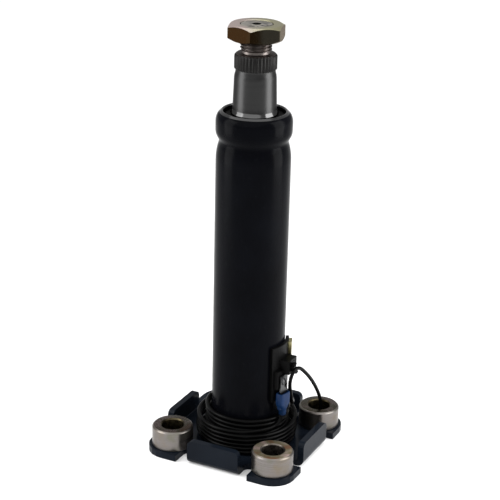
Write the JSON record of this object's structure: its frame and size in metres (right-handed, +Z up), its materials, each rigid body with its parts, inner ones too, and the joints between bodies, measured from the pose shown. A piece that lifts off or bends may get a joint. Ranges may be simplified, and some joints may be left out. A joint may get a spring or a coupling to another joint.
{
  "type": "steering column",
  "caption": "Steering column: black tube on a square stamped base with round spacer sleeves, a turning shaft with serration and jam nut on top, and a horn contact with its lead at the foot.",
  "frame": {"origin": "on the tube's axis, at the underside of the base plate", "axes": "+Z up along the tube's axis; the base plate's sides lie along X and Y; +X points to the brush holder"},
  "size_m": [0.0832, 0.0832, 0.2264],
  "materials": {
    "black_paint": "satin black enamel",
    "zinc_plate": "bright turned zinc plate",
    "yellow_zinc": "yellow zinc plate",
    "shaft_steel": "ground steel, oiled",
    "bearing_steel": "polished bearing steel",
    "brass": "satin, slightly tarnished",
    "tinned_brass": "tinned, bright",
    "black_plastic": "moulded, slightly grained",
    "nylon": "natural nylon",
    "seal_rubber": "matt black rubber",
    "carbon": "copper graphite",
    "blue_plastic": "translucent blue insulation",
    "lead_jacket": "satin black PVC"
  },
  "bodies": {
    "column": {"base_plate": "black_paint", "spacer_left": "zinc_plate", "spacer_front": "zinc_plate", "spacer_right": "zinc_plate", "column_tube": "black_paint", "weld_bead": "black_paint", "lower_bush": "nylon", "dust_seal": "seal_rubber", "bearing_outer_race": "bearing_steel", "brush_holder": "black_plastic", "brush_spring": "shaft_steel", "brush_plug": "black_plastic", "contact_strap": "brass", "contact_tab": "tinned_brass", "tab_rivet": "brass", "blue_terminal": "blue_plastic", "lead_start": "lead_jacket", "lead_coil": "lead_jacket", "lead_tail": "lead_jacket"},
    "shaft": {"steering_shaft": "shaft_steel", "jam_nut": "yellow_zinc", "bearing_inner_race": "bearing_steel", "shaft_circlip": "shaft_steel", "coupling_sleeve": "shaft_steel", "coupling_pin": "bearing_steel", "slip_ring_spool": "black_plastic", "slip_ring": "brass"},
    "ball_cage": {"bearing_cage": "brass", "bearing_ball_1": "bearing_steel", "bearing_ball_2": "bearing_steel", "bearing_ball_3": "bearing_steel", "bearing_ball_4": "bearing_steel", "bearing_ball_5": "bearing_steel", "bearing_ball_6": "bearing_steel", "bearing_ball_7": "bearing_steel", "bearing_ball_8": "bearing_steel", "bearing_ball_9": "bearing_steel"},
    "brush": {"contact_brush": "carbon"}
  },
  "joints": [
    {"name": "shaft_spin", "type": "hinge", "parent": "column", "child": "shaft", "pos_m": [0, 0, 0.176], "axis": [0, 0, 1], "continuous": true},
    {"name": "cage_spin", "type": "hinge", "parent": "column", "child": "ball_cage", "pos_m": [0, 0, 0.176], "axis": [0, 0, 1], "continuous": true},
    {"name": "brush_slide", "type": "slide", "parent": "column", "child": "brush", "axis": [1, 0, 0], "range_m": [0, 0.0012], "stiffness_N_per_m": 400, "springref_m": -0.0025, "deforming": ["brush_spring"]}
  ],
  "couplings": [
    {"joint": "cage_spin", "follows": "shaft_spin", "ratio": 0.4115}
  ]
}
